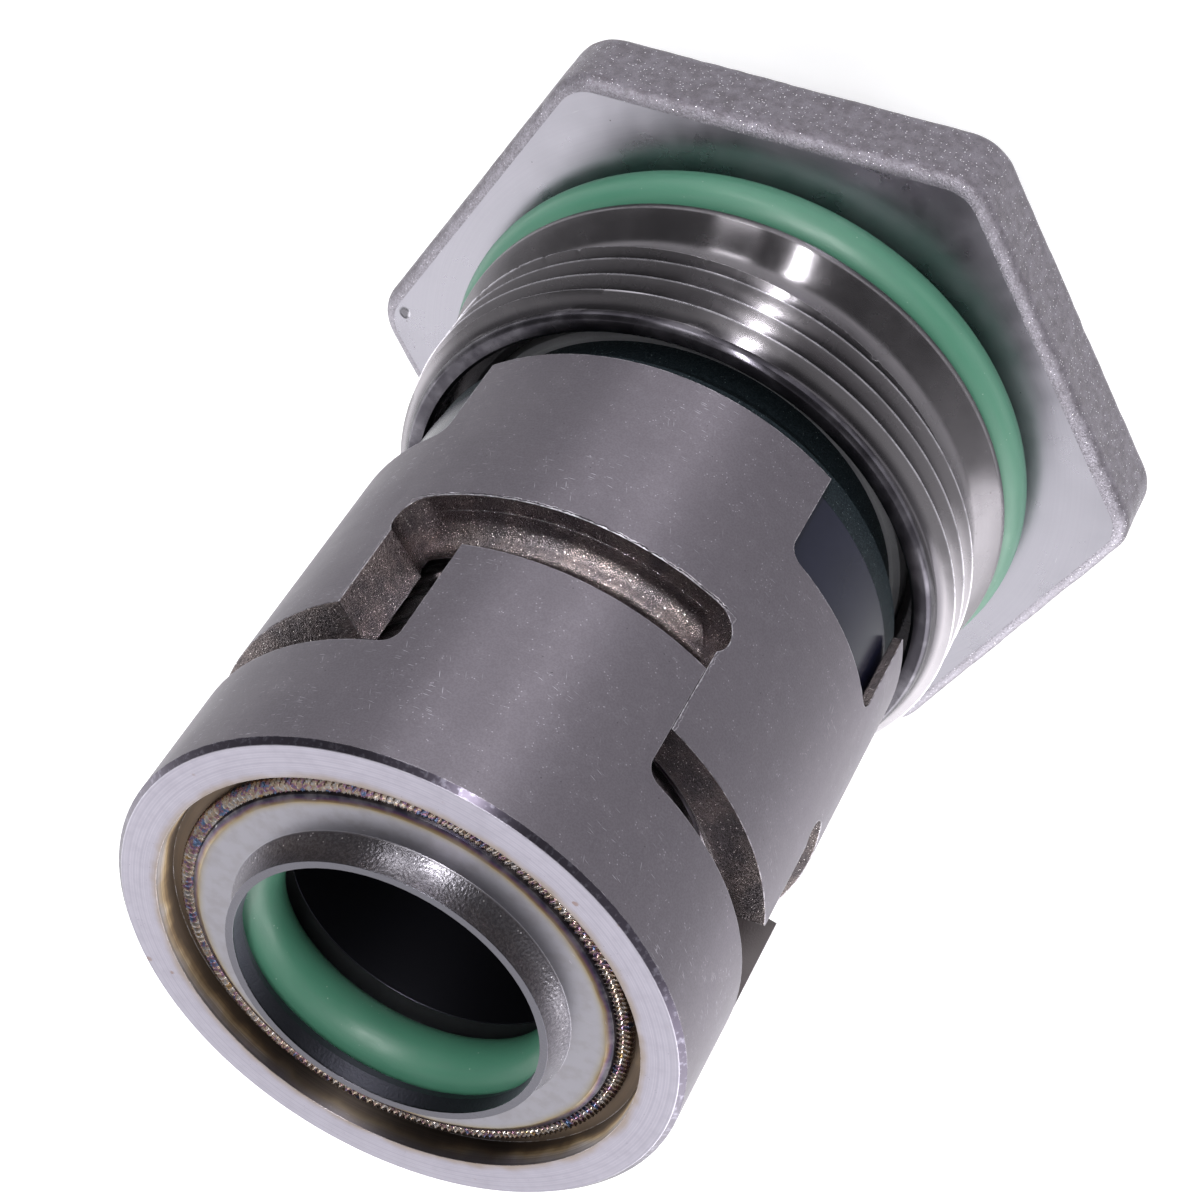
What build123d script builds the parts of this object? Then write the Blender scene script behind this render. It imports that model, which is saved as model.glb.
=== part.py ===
import os
from build123d import *

os.makedirs("parts", exist_ok=True)

# Cartridge mechanical seal for a 16 mm pump shaft, millimetres, standing on its lock ring, +Z to the sleeve lip.

# shaft and fits
shaft_radius = 8.0
bore_radius = shaft_radius + 0.05
sleeve_radius = 9.25
head_turn = 266.0
upper_lug_turn = 1.6

# heights from the foot of the lock ring
lock_ring_height = 8.5
rest_gap = 0.05
hex_thickness = 5.0
hex_bottom = lock_ring_height + rest_gap
hex_top = hex_bottom + hex_thickness
groove_top = hex_top + 3.45
land_top = groove_top + 0.55
thread_bottom = 20.9
thread_top = 25.0
gland_end = 26.0

# gland
hex_across_flats = 40.6
hex_corner_radius = 3.0
hex_edge_radius = 0.8
land_radius = 16.9
thread_major_radius = 16.5
thread_pitch = 1.5
thread_minor_radius = thread_major_radius - 0.613 * thread_pitch
relief_radius = 15.45
gland_ring_section = 1.5
gland_ring_radius = 15.95
gland_groove_radius = gland_ring_radius - gland_ring_section - 0.02
gland_bore_radius = 14.45
pocket_top = 23.0
pocket_floor = 12.8
seat_pocket_radius = 13.1
gland_through_radius = 9.95

# seal faces
face_height = 23.7
seat_radius = seat_pocket_radius - 0.08
seat_tail_radius = 11.3
seat_tail_height = 4.2
seat_ring_section = 0.9
nose_inner_radius = 10.4
nose_outer_radius = 12.5
nose_height = 1.6
seal_ring_radius = 14.1
band_radius = 14.0
band_bottom = 26.9
band_top = 29.0
seal_ring_back = 34.85
face_bore_radius = 9.75
seal_o_section = 1.25
seal_o_pocket_radius = sleeve_radius + 2 * seal_o_section + 0.05
seal_o_pocket_depth = 2 * seal_o_section + 0.4

# torque ring
ring_radius = 14.95
lug_tip = 28.55
notch_floor = 34.65
upper_lug_angle = 78.8
upper_lug_inner_radius = seal_ring_radius + 0.3
window_floor = 40.7
ring_end = 48.85
window_angle = 70.5
window_corner_radius = 1.2
corner_relief_depth = 0.35
corner_relief_radius = 1.5
notch_corner_radius = 0.9
spring_bore_radius = 11.9
ledge_radius = 11.1
ledge_edge = 0.3
web_top = 39.7
web_bottom = seal_ring_back + 0.05
web_inner_radius = 9.75
dog_count = 3
dog_width = 3.0
dog_height = 1.2
dog_inner_radius = seal_o_pocket_radius + 0.35
dog_outer_radius = seal_ring_radius + 0.05

# spring
wire_radius = 0.75
spring_radius = 10.6
coil_pitch = 2.2
end_coil_radius = spring_radius - 0.02
spring_turn = 236.0
thrust_ring_height = 1.0
thrust_ring_radius = ledge_radius - 0.15

# driver cup
drive_lug_angle = 52.0
lug_side_gap = 0.35
drive_lug_inner_radius = 12.15
drive_lug_tip = 44.5
lug_root_radius = 0.9
cup_rim = 51.95
cup_face = 59.2
cup_recess_radius = 12.74
cup_recess_floor = 57.75

# sleeve
head_radius = 11.3
head_bottom = 51.6
disc_height = 58.6
lip_height = 60.15
lip_radius = 8.47
neck_radius = 8.98
neck_wall = 0.55
shaft_ring_section = 1.5
shaft_ring_radius = 8.75
shaft_ring_height = 56.7
shaft_groove_low = 54.1
shaft_groove_mouth = 59.2
weld_radius = 11.47
weld_height = 57.95
weld_section = 0.5

# lock ring and set screws
lock_ring_radius = 14.0
screw_count = 3
screw_height = 4.2
screw_radius = 2.5
screw_gap = 0.06
screw_inner = shaft_radius + 0.4
screw_outer = 13.8
socket_across_flats = 2.5
socket_depth = 2.6
sleeve_hole_radius = screw_radius + 0.15


def outline(points):
    """Closed half section in the XZ plane."""
    with BuildSketch(Plane.XZ) as section:
        with BuildLine():
            Polyline(*points, close=True)
        make_face()
    return section.sketch


def ring_section(mean_radius, height, section_radius):
    """Round cord section in the XZ plane."""
    with BuildSketch(Plane.XZ) as section:
        with Locations((mean_radius, height)):
            Circle(section_radius)
    return section.sketch


def sector(inner, outer, mid_angle, width_angle, height):
    """Annular sector on a horizontal plane, swept about its middle angle."""
    low = mid_angle - width_angle / 2
    with BuildSketch(Plane.XY.offset(height)) as shape:
        with BuildLine():
            CenterArc((0, 0), inner, low, width_angle)
            CenterArc((0, 0), outer, low, width_angle)
            start = Vector(1, 0, 0).rotate(Axis.Z, low)
            end = Vector(1, 0, 0).rotate(Axis.Z, low + width_angle)
            Line(start * inner, start * outer)
            Line(end * inner, end * outer)
        make_face()
    return shape.sketch


# gland plate with its hexagon, O-ring groove, thread blank and seat pocket
with BuildPart() as gland_plate:
    with BuildSketch(Plane.XY.offset(hex_bottom)):
        RegularPolygon(hex_across_flats / 2, 6, major_radius=False)
    extrude(amount=hex_thickness)
    fillet(gland_plate.edges().filter_by(Axis.Z), hex_corner_radius)
    fillet(gland_plate.edges().group_by(Axis.Z)[-1] + gland_plate.edges().group_by(Axis.Z)[0], hex_edge_radius)
    revolve(
        outline(
            [
                (gland_through_radius, hex_top - 1.0),
                (gland_groove_radius, hex_top - 1.0),
                (gland_groove_radius, groove_top),
                (land_radius, groove_top),
                (land_radius, land_top),
                (relief_radius, land_top + land_radius - relief_radius),
                (relief_radius, thread_bottom - 1.05),
                (thread_major_radius, thread_bottom),
                (thread_major_radius, thread_top),
                (thread_minor_radius, thread_top + 0.45),
                (thread_minor_radius, gland_end - 0.25),
                (thread_minor_radius - 0.25, gland_end),
                (gland_through_radius, gland_end),
            ]
        ),
        axis=Axis.Z,
    )
    revolve(
        outline(
            [
                (0, hex_bottom - 1),
                (gland_through_radius + 0.5, hex_bottom - 1),
                (gland_through_radius + 0.5, hex_bottom),
                (gland_through_radius, hex_bottom + 0.5),
                (gland_through_radius, pocket_floor),
                (seat_pocket_radius, pocket_floor),
                (seat_pocket_radius, pocket_top - 0.5),
                (seat_pocket_radius + 0.5, pocket_top),
                (gland_bore_radius, pocket_top),
                (gland_bore_radius, gland_end - 0.2),
                (gland_bore_radius + 0.2, gland_end),
                (gland_bore_radius + 0.2, gland_end + 1),
                (0, gland_end + 1),
            ]
        ),
        axis=Axis.Z,
        mode=Mode.SUBTRACT,
    )
gland_plate.part.label = "gland_plate"
export_step(gland_plate.part, "parts/gland_plate.step")

# O-ring under the hexagon
with BuildPart() as gland_o_ring:
    revolve(ring_section(gland_ring_radius, hex_top + gland_ring_section + 0.02, gland_ring_section), axis=Axis.Z)
gland_o_ring.part.label = "gland_o_ring"
export_step(gland_o_ring.part, "parts/gland_o_ring.step")

# stationary seat: shouldered ring with a short tail inside its own O-ring
with BuildPart() as stationary_seat:
    revolve(
        outline(
            [
                (gland_through_radius, pocket_floor + 0.02),
                (seat_tail_radius, pocket_floor + 0.02),
                (seat_tail_radius, pocket_floor + seat_tail_height),
                (seat_radius, pocket_floor + seat_tail_height),
                (seat_radius, face_height - 0.3),
                (seat_radius - 0.3, face_height),
                (gland_through_radius + 0.2, face_height),
                (gland_through_radius, face_height - 0.2),
            ]
        ),
        axis=Axis.Z,
    )
stationary_seat.part.label = "stationary_seat"
export_step(stationary_seat.part, "parts/stationary_seat.step")

# O-ring that holds the stationary seat
with BuildPart() as seat_o_ring:
    revolve(
        ring_section(
            (seat_tail_radius + seat_pocket_radius) / 2,
            pocket_floor + seat_tail_height - seat_ring_section - 0.05,
            (seat_pocket_radius - seat_tail_radius) / 2,
        ),
        axis=Axis.Z,
    )
seat_o_ring.part.label = "seat_o_ring"
export_step(seat_o_ring.part, "parts/seat_o_ring.step")

# rotating seal ring: narrow nose, unground band, ground barrel, slots for the dogs
with BuildPart() as rotating_seal_ring:
    revolve(
        outline(
            [
                (nose_inner_radius, face_height + 0.01),
                (nose_outer_radius, face_height + 0.01),
                (nose_outer_radius, face_height + nose_height),
                (band_radius - 1.0, band_bottom - 0.6),
                (band_radius - 0.3, band_bottom),
                (band_radius, band_bottom + 0.3),
                (band_radius, band_top),
                (seal_ring_radius, band_top),
                (seal_ring_radius, seal_ring_back - 0.5),
                (seal_ring_radius - 0.5, seal_ring_back),
                (seal_o_pocket_radius, seal_ring_back),
                (seal_o_pocket_radius, seal_ring_back - seal_o_pocket_depth),
                (face_bore_radius, seal_ring_back - seal_o_pocket_depth),
                (face_bore_radius, face_height + 1.0),
            ]
        ),
        axis=Axis.Z,
    )
    with BuildSketch(Plane.XY.offset(seal_ring_back - dog_height - 0.1)):
        with PolarLocations((dog_inner_radius + dog_outer_radius + 0.1) / 2, dog_count, start_angle=head_turn):
            Rectangle(dog_outer_radius - dog_inner_radius + 0.4, dog_width + 0.2)
    extrude(amount=dog_height + 1, mode=Mode.SUBTRACT)
rotating_seal_ring.part.label = "rotating_seal_ring"
export_step(rotating_seal_ring.part, "parts/rotating_seal_ring.step")

# O-ring between the rotating seal ring and the sleeve
with BuildPart() as seal_ring_o_ring:
    revolve(
        ring_section(sleeve_radius + seal_o_section + 0.03, seal_ring_back - seal_o_section - 0.1, seal_o_section),
        axis=Axis.Z,
    )
seal_ring_o_ring.part.label = "seal_ring_o_ring"
export_step(seal_ring_o_ring.part, "parts/seal_ring_o_ring.step")

# space that one window takes out of the torque ring
with BuildPart() as window_cutter:
    extrude(
        sector(spring_bore_radius - 1, ring_radius + 1, head_turn, window_angle, window_floor),
        amount=ring_end - window_floor + 1,
    )
    floor_edges = window_cutter.edges().group_by(Axis.Z)[0].filter_by(GeomType.LINE)
    fillet(floor_edges, window_corner_radius)

# torque ring: thin lugs round the seal ring at one end, windows for the driver lugs at the other
with BuildPart() as torque_ring:
    revolve(
        outline(
            [
                (upper_lug_inner_radius, lug_tip),
                (ring_radius, lug_tip),
                (ring_radius, ring_end),
                (spring_bore_radius + 0.75, ring_end),
                (spring_bore_radius, ring_end - 0.75),
                (spring_bore_radius, window_floor),
                (ledge_radius + ledge_edge, window_floor),
                (ledge_radius, window_floor - ledge_edge),
                (ledge_radius, web_top),
                (web_inner_radius, web_top),
                (web_inner_radius, web_bottom),
                (upper_lug_inner_radius, web_bottom),
            ]
        ),
        axis=Axis.Z,
    )
    for k in range(3):
        add(window_cutter.part.rotate(Axis.Z, 120 * k), mode=Mode.SUBTRACT)
        notch_angle = head_turn + upper_lug_turn + 60 + 120 * k
        extrude(
            sector(upper_lug_inner_radius - 1, ring_radius + 1, notch_angle, 120 - upper_lug_angle, lug_tip - 1),
            amount=notch_floor - lug_tip + 1,
            mode=Mode.SUBTRACT,
        )
    radial_edges = torque_ring.edges().filter_by(GeomType.LINE).filter_by(lambda e: abs(e.tangent_at(0.5).Z) < 0.01)
    fillet(radial_edges.filter_by(lambda e: abs(e.center().Z - notch_floor) < 0.01), notch_corner_radius)
    for k in range(3):
        for side in (-1, 1):
            wall = Vector(1, 0, 0).rotate(Axis.Z, head_turn + 120 * k + side * window_angle / 2)
            shift = wall.rotate(Axis.Z, -90 * side) * (corner_relief_radius - corner_relief_depth)
            start = wall * (spring_bore_radius - 1) + shift + Vector(0, 0, window_floor + corner_relief_radius)
            with BuildSketch(Plane(origin=start, z_dir=wall)):
                Circle(corner_relief_radius)
            extrude(amount=ring_radius - spring_bore_radius + 2, mode=Mode.SUBTRACT)
    with BuildSketch(Plane.XY.offset(web_bottom - dog_height)):
        with PolarLocations((dog_inner_radius + dog_outer_radius) / 2, dog_count, start_angle=head_turn):
            Rectangle(dog_outer_radius - dog_inner_radius, dog_width)
    extrude(amount=dog_height)
torque_ring.part.label = "torque_ring"
export_step(torque_ring.part, "parts/torque_ring.step")

# plain washer between the web and the spring
with BuildPart() as thrust_ring:
    with BuildSketch(Plane.XY.offset(web_top + 0.02)):
        Circle(thrust_ring_radius)
        Circle(sleeve_radius + 0.4, mode=Mode.SUBTRACT)
    extrude(amount=thrust_ring_height)
thrust_ring.part.label = "thrust_ring"
export_step(thrust_ring.part, "parts/thrust_ring.step")

# compression spring between the washer and the head of the sleeve
spring_bottom = web_top + 0.02 + thrust_ring_height + 0.02
spring_top = head_bottom - 0.02
with BuildPart() as spring:
    coil_height = spring_top - spring_bottom - 2 * wire_radius
    with BuildLine():
        Helix(coil_pitch, coil_height, spring_radius, center=(0, 0, spring_bottom + wire_radius))
    with BuildSketch(Plane(origin=(spring_radius, 0, spring_bottom + wire_radius), z_dir=(0, 1, 0))):
        Circle(wire_radius)
    sweep(is_frenet=True)
    with Locations((0, 0, spring_bottom + wire_radius), (0, 0, spring_top - wire_radius)):
        Torus(end_coil_radius, wire_radius)
turned_spring = spring.part.rotate(Axis.Z, spring_turn)
turned_spring.label = "spring"
export_step(turned_spring, "parts/spring.step")

# driver cup with three lugs that stand in the windows
lug_mid = head_turn - (window_angle - drive_lug_angle) / 2 + lug_side_gap / 2
with BuildPart() as driver_cup:
    revolve(
        outline(
            [
                (drive_lug_inner_radius, drive_lug_tip),
                (ring_radius, drive_lug_tip),
                (ring_radius, cup_face - 0.3),
                (ring_radius - 0.3, cup_face),
                (cup_recess_radius, cup_face),
                (cup_recess_radius - 0.15, cup_recess_floor),
                (head_radius, cup_recess_floor),
                (head_radius, cup_rim + 1.0),
                (drive_lug_inner_radius, cup_rim + 1.0),
            ]
        ).rotate(Axis.Z, lug_mid),
        axis=Axis.Z,
    )
    for k in range(3):
        gap_angle = lug_mid + 60 + 120 * k
        extrude(
            sector(drive_lug_inner_radius - 1, ring_radius + 1, gap_angle, 120 - drive_lug_angle, drive_lug_tip - 1),
            amount=cup_rim - drive_lug_tip + 1,
            mode=Mode.SUBTRACT,
        )
    lug_roots = driver_cup.edges().filter_by(GeomType.LINE).filter_by(lambda e: abs(e.tangent_at(0.5).Z) < 0.01)
    fillet(lug_roots.filter_by(lambda e: abs(e.center().Z - cup_rim) < 0.01), lug_root_radius)
driver_cup.part.label = "driver_cup"
export_step(driver_cup.part, "parts/driver_cup.step")

# sleeve with its head, neck and lip, and the groove for the shaft O-ring
shaft_groove_radius = shaft_ring_radius + shaft_ring_section + 0.02
with BuildPart() as shaft_sleeve:
    with BuildSketch(Plane.XZ):
        with BuildLine():
            Polyline(
                (neck_radius, disc_height),
                (head_radius - 0.55, disc_height),
                (head_radius - 0.2, disc_height - 0.15),
                (head_radius, disc_height - 0.5),
                (head_radius, head_bottom),
                (sleeve_radius, head_bottom),
                (sleeve_radius, 0.3),
                (sleeve_radius - 0.3, 0),
                (bore_radius + 0.3, 0),
                (bore_radius, 0.3),
                (bore_radius, shaft_groove_low),
                (shaft_groove_radius, shaft_groove_low),
                (shaft_groove_radius, shaft_ring_height + 0.9),
                (shaft_groove_radius - 0.67, disc_height - neck_wall),
                (neck_radius - 0.08, disc_height - neck_wall + 0.2),
                (bore_radius + 0.25, disc_height + 0.1),
                (bore_radius, shaft_groove_mouth),
                (bore_radius, lip_height),
                (lip_radius, lip_height),
            )
            Spline(
                (lip_radius, lip_height),
                (lip_radius + 0.14, disc_height + 0.75),
                (neck_radius, disc_height),
            )
        make_face()
    revolve(axis=Axis.Z)
    for k in range(screw_count):
        with BuildSketch(Plane((0, 0, screw_height), z_dir=Vector(1, 0, 0).rotate(Axis.Z, 30 + 120 * k))):
            Circle(sleeve_hole_radius)
        extrude(amount=sleeve_radius + 1, mode=Mode.SUBTRACT)
shaft_sleeve.part.label = "shaft_sleeve"
export_step(shaft_sleeve.part, "parts/shaft_sleeve.step")

# weld bead over the joint of the cup and the sleeve head, cut to the free surfaces on each side
with BuildPart() as weld_seam:
    revolve(ring_section(weld_radius, weld_height, weld_section), axis=Axis.Z)
    add(driver_cup.part, mode=Mode.SUBTRACT)
    add(shaft_sleeve.part, mode=Mode.SUBTRACT)
weld_seam.part.label = "weld_seam"
export_step(weld_seam.part, "parts/weld_seam.step")

# O-ring that seals the sleeve on the shaft
with BuildPart() as shaft_o_ring:
    revolve(ring_section(shaft_ring_radius, shaft_ring_height, shaft_ring_section), axis=Axis.Z)
shaft_o_ring.part.label = "shaft_o_ring"
export_step(shaft_o_ring.part, "parts/shaft_o_ring.step")

# lock ring with three radial threaded holes
with BuildPart() as lock_ring:
    revolve(
        outline(
            [
                (sleeve_radius + 0.02, 0.3),
                (sleeve_radius + 0.32, 0),
                (lock_ring_radius - 0.5, 0),
                (lock_ring_radius, 0.5),
                (lock_ring_radius, lock_ring_height - 0.5),
                (lock_ring_radius - 0.5, lock_ring_height),
                (sleeve_radius + 0.02, lock_ring_height),
            ]
        ),
        axis=Axis.Z,
    )
    for k in range(screw_count):
        with BuildSketch(Plane((0, 0, screw_height), z_dir=Vector(1, 0, 0).rotate(Axis.Z, 30 + 120 * k))):
            Circle(screw_radius + screw_gap)
        extrude(amount=lock_ring_radius + 1, mode=Mode.SUBTRACT)
lock_ring.part.label = "lock_ring"
export_step(lock_ring.part, "parts/lock_ring.step")


def socket_screw(mid_angle):
    """Headless screw along a radius, with a hexagon socket at its outer end and a cup point."""
    direction = Vector(1, 0, 0).rotate(Axis.Z, mid_angle)
    point = Plane(direction * screw_inner + Vector(0, 0, screw_height), z_dir=direction)
    with BuildPart() as screw:
        with BuildSketch(point):
            Circle(screw_radius)
        extrude(amount=screw_outer - screw_inner)
        chamfer(screw.edges().filter_by(GeomType.CIRCLE).sort_by(Axis((0, 0, 0), direction))[0], 0.9)
        chamfer(screw.edges().filter_by(GeomType.CIRCLE).sort_by(Axis((0, 0, 0), direction))[-1], 0.3)
        with BuildSketch(point.offset(screw_outer - screw_inner)):
            RegularPolygon(socket_across_flats / 2, 6, major_radius=False)
        extrude(amount=-socket_depth, mode=Mode.SUBTRACT)
    return screw.part


# three set screws in the lock ring
with BuildPart() as set_screw_1:
    add(socket_screw(30))
set_screw_1.part.label = "set_screw_1"
export_step(set_screw_1.part, "parts/set_screw_1.step")

with BuildPart() as set_screw_2:
    add(socket_screw(150))
set_screw_2.part.label = "set_screw_2"
export_step(set_screw_2.part, "parts/set_screw_2.step")

with BuildPart() as set_screw_3:
    add(socket_screw(270))
set_screw_3.part.label = "set_screw_3"
export_step(set_screw_3.part, "parts/set_screw_3.step")
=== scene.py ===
import math

import bmesh
import bpy
import numpy as np
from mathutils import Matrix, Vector, noise


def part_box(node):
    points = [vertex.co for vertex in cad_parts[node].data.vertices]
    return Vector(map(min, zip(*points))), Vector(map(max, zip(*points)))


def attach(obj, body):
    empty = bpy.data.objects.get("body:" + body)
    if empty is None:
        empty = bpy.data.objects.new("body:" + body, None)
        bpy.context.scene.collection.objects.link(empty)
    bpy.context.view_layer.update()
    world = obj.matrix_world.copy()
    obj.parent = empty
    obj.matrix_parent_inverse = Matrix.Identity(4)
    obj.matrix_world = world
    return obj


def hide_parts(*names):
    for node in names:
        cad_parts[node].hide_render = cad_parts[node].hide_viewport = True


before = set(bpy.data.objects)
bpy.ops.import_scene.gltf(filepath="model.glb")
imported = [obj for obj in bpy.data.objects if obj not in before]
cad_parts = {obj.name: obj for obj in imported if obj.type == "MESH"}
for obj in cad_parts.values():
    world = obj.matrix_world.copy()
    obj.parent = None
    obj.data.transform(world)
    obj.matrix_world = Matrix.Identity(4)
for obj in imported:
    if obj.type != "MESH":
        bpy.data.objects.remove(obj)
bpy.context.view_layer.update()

# Cartridge mechanical seal. Sizes are millimetres in the part's own frame, with z along the shaft.
MM = 0.001
TAU = 2 * math.pi
scene = bpy.context.scene
scene.view_settings.view_transform = "Standard"

# ---------------------------------------------------------------- camera at the photograph's viewing angle
camera_data = bpy.data.cameras.new("camera")
camera_data.sensor_width = 36.0
camera_data.lens = 91.924
camera_data.shift_x = 0.00035
camera_data.shift_y = 0.00055
camera_data.clip_start = 0.005
camera_data.clip_end = 50.0
camera = bpy.data.objects.new("camera", camera_data)
camera.location = (-0.0421783, -0.1130704, 0.1428764)
camera.rotation_mode = "QUATERNION"
camera.rotation_quaternion = (-0.090320, -0.180469, -0.357860, 0.911707)
scene.collection.objects.link(camera)
scene.camera = camera


# ---------------------------------------------------------------- sizes that materials and added pieces share
def low_corner(node):
    return Vector(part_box(node)[0]) / MM


def high_corner(node):
    return Vector(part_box(node)[1]) / MM


# middle ring: its first window faces head_turn, and the others follow every 120 degrees
RING_R = high_corner("torque_ring").x
HEAD_TURN = 266.0
WINDOW_HALF = math.radians(35.25)
WINDOW_FLOOR = 40.7

# driver cup, with a recess round the weld in its end face
CUP_FACE = high_corner("driver_cup").z
CUP_R = high_corner("driver_cup").x
RECESS_R = 12.72
RECESS_FLOOR = CUP_FACE - 1.45

# sleeve: head inside the cup, neck, and thin lip at its end
LIP_Z = high_corner("shaft_sleeve").z
LIP_R = 8.52
DISC_Z = LIP_Z - 1.55
HEAD_R = 11.3
BORE_R = 8.05
BEAD_TOP = high_corner("weld_seam").z
BEAD_R = 11.47

# gland: hexagon, groove for its O-ring, land, relief, thread and bore
HEX_LOW = low_corner("gland_plate").z
HEX_TOP = HEX_LOW + 5.0
THREAD_PITCH = 1.5
THREAD_CREST = 16.5
THREAD_ROOT = 15.58
THREAD_LOW = 20.46
THREAD_END = 25.42

SEAL_RAW_TOP = 29.0

# ---------------------------------------------------------------- colours, linear red green blue
SATIN = ((0.112, 0.101, 0.117), (0.142, 0.130, 0.152))
SATIN_CLOUD = (0.205, 0.190, 0.217)
SATIN_GRAIN = (0.085, 0.076, 0.088)
SATIN_DUST = (0.42, 0.39, 0.45)
SCRATCH = (0.60, 0.58, 0.65)
PIT = (0.04, 0.036, 0.04)
SATIN_SPREAD = 0.86

RAW_CAST = ((0.150, 0.131, 0.140), (0.260, 0.218, 0.215))
RAW_GRAIN = (0.045, 0.038, 0.042)
RAW_PAINTED_GLINT = (0.98, 0.92, 0.90)
RIM_PAINTED_HIGHLIGHT = (0.80, 0.77, 0.84)
RIM_PAINTED_SHADE = (0.02, 0.018, 0.022)
RAGGED_EDGE = (0.62, 0.60, 0.65)

RUBBED = (0.60, 0.58, 0.63)
TURNED_PIT = (0.05, 0.04, 0.04)
CREST_PAINTED_HIGHLIGHT = (0.62, 0.60, 0.66)
ROOT_PAINTED_SHADE = (0.035, 0.032, 0.038)
OPEN_END = ((0.040, 0.037, 0.046), (0.11, 0.104, 0.12))
DING = (0.09, 0.085, 0.095)

FACED = ((0.30, 0.284, 0.335), (0.37, 0.352, 0.412))
FACED_CLOUD = (0.26, 0.247, 0.29)
RUST_SPOT = (0.20, 0.12, 0.09)
FACED_SPECK = (0.20, 0.18, 0.22)
RECESS_HEAT = [(0.0, (0.130, 0.095, 0.070)), (0.20, (0.32, 0.225, 0.130)),
               (0.45, (0.62, 0.480, 0.300)), (0.85, (0.68, 0.630, 0.620))]
RECESS_PAINTED_SHADE = (0.045, 0.038, 0.036)
RECESS_LINES = (0.10, 0.080, 0.065)
HEAT_BLUSH = (0.22, 0.165, 0.11)
CUP_INSIDE = (0.14, 0.125, 0.128)
CHAMFER = ((0.060, 0.052, 0.072), (0.16, 0.15, 0.19))

HEAD_HEAT = [(0.0, (0.230, 0.223, 0.250)), (0.20, (0.225, 0.210, 0.205)), (0.42, (0.200, 0.158, 0.095)),
             (0.58, (0.125, 0.080, 0.050)), (0.70, (0.060, 0.032, 0.060)), (0.84, (0.022, 0.020, 0.034)),
             (1.0, (0.030, 0.026, 0.028))]
HEAD_CLOUD = (0.17, 0.155, 0.165)
SLEEVE = ((0.30, 0.29, 0.32), (0.38, 0.37, 0.41))
NECK = ((0.135, 0.129, 0.147), (0.215, 0.205, 0.229))
NECK_PAINTED_GLINT = (0.92, 0.90, 0.95)
SLEEVE_SCRATCH = (0.75, 0.73, 0.78)
SLEEVE_BORE_PAINTED_SHADE = (0.10, 0.098, 0.125)
LIP_INNER_PAINTED_SHADE = (0.11, 0.107, 0.125)
LIP_FACE = ((0.20, 0.195, 0.215), (0.26, 0.252, 0.28))
MOUTH_PAINTED_SHADE = ((0.065, 0.065, 0.084), (0.095, 0.094, 0.118))

WELD_FILM = [(0.0, (0.040, 0.040, 0.100)), (0.22, (0.090, 0.140, 0.230)), (0.36, (0.170, 0.080, 0.130)),
             (0.50, (0.270, 0.210, 0.150)), (0.68, (0.300, 0.285, 0.300)), (0.86, (0.270, 0.170, 0.070))]
WELD_DUST = (0.055, 0.045, 0.055)

CARBIDE = ((0.004, 0.0045, 0.013), (0.009, 0.0095, 0.022))
CARBIDE_RAW = ((0.003, 0.005, 0.007), (0.018, 0.026, 0.030))
CARBIDE_PAINTED_GLINT = (0.30, 0.36, 0.38)
CERAMIC = ((0.11, 0.11, 0.12), (0.16, 0.16, 0.17))
CERAMIC_GRAIN = (0.07, 0.07, 0.08)
RUBBER = ((0.047, 0.160, 0.104), (0.063, 0.194, 0.129))
RUBBER_DUST = (0.30, 0.40, 0.34)
RUBBER_STREAK = (0.061, 0.158, 0.115)
HEX_SKIN = ((0.125, 0.113, 0.130), (0.185, 0.171, 0.199))
HEX_GRAIN = (0.075, 0.067, 0.077)
HEX_PAINTED_GLINT = (0.80, 0.78, 0.83)
HEX_EDGE = (0.50, 0.48, 0.54)
WIRE = ((0.58, 0.55, 0.57), (0.74, 0.71, 0.74))
WIRE_DULL = (0.38, 0.35, 0.36)


# ---------------------------------------------------------------- node trees
class Nodes:
    """Short calls that make nodes in one tree."""

    def __init__(self, tree):
        self.tree = tree

    def add(self, kind, inputs=None, **settings):
        node = self.tree.nodes.new(kind)
        for key, value in settings.items():
            setattr(node, key, value)
        for key, value in (inputs or {}).items():
            if isinstance(value, bpy.types.NodeSocket):
                self.tree.links.new(value, node.inputs[key])
            else:
                node.inputs[key].default_value = value
        return node

    def math(self, op, a, b=0.0):
        return self.add("ShaderNodeMath", {0: a, 1: b}, operation=op).outputs[0]

    def times(self, a, b):
        return self.math("MULTIPLY", a, b)

    def plus(self, a, b):
        return self.math("ADD", a, b)

    def minus(self, a, b):
        return self.math("SUBTRACT", a, b)

    def most(self, a, b):
        return self.math("MAXIMUM", a, b)

    def vec(self, op, *values):
        node = self.add("ShaderNodeVectorMath", dict(enumerate(values)), operation=op)
        return node.outputs["Value" if op in ("DOT_PRODUCT", "LENGTH") else "Vector"]

    def step(self, value, low, high, low_to=0.0, high_to=1.0):
        """Smooth change from low_to to high_to as value goes from low to high."""
        return self.add("ShaderNodeMapRange", {0: value, 1: low, 2: high, 3: low_to, 4: high_to},
                        interpolation_type="SMOOTHSTEP").outputs[0]

    def fall(self, value, low, high):
        """1 below low, 0 above high."""
        return self.step(value, low, high, 1.0, 0.0)

    def band(self, value, low, high, soft):
        """1 between low and high, 0 outside."""
        rise = self.step(value, low - soft, low + soft)
        return self.times(rise, self.fall(value, high - soft, high + soft))


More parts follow.
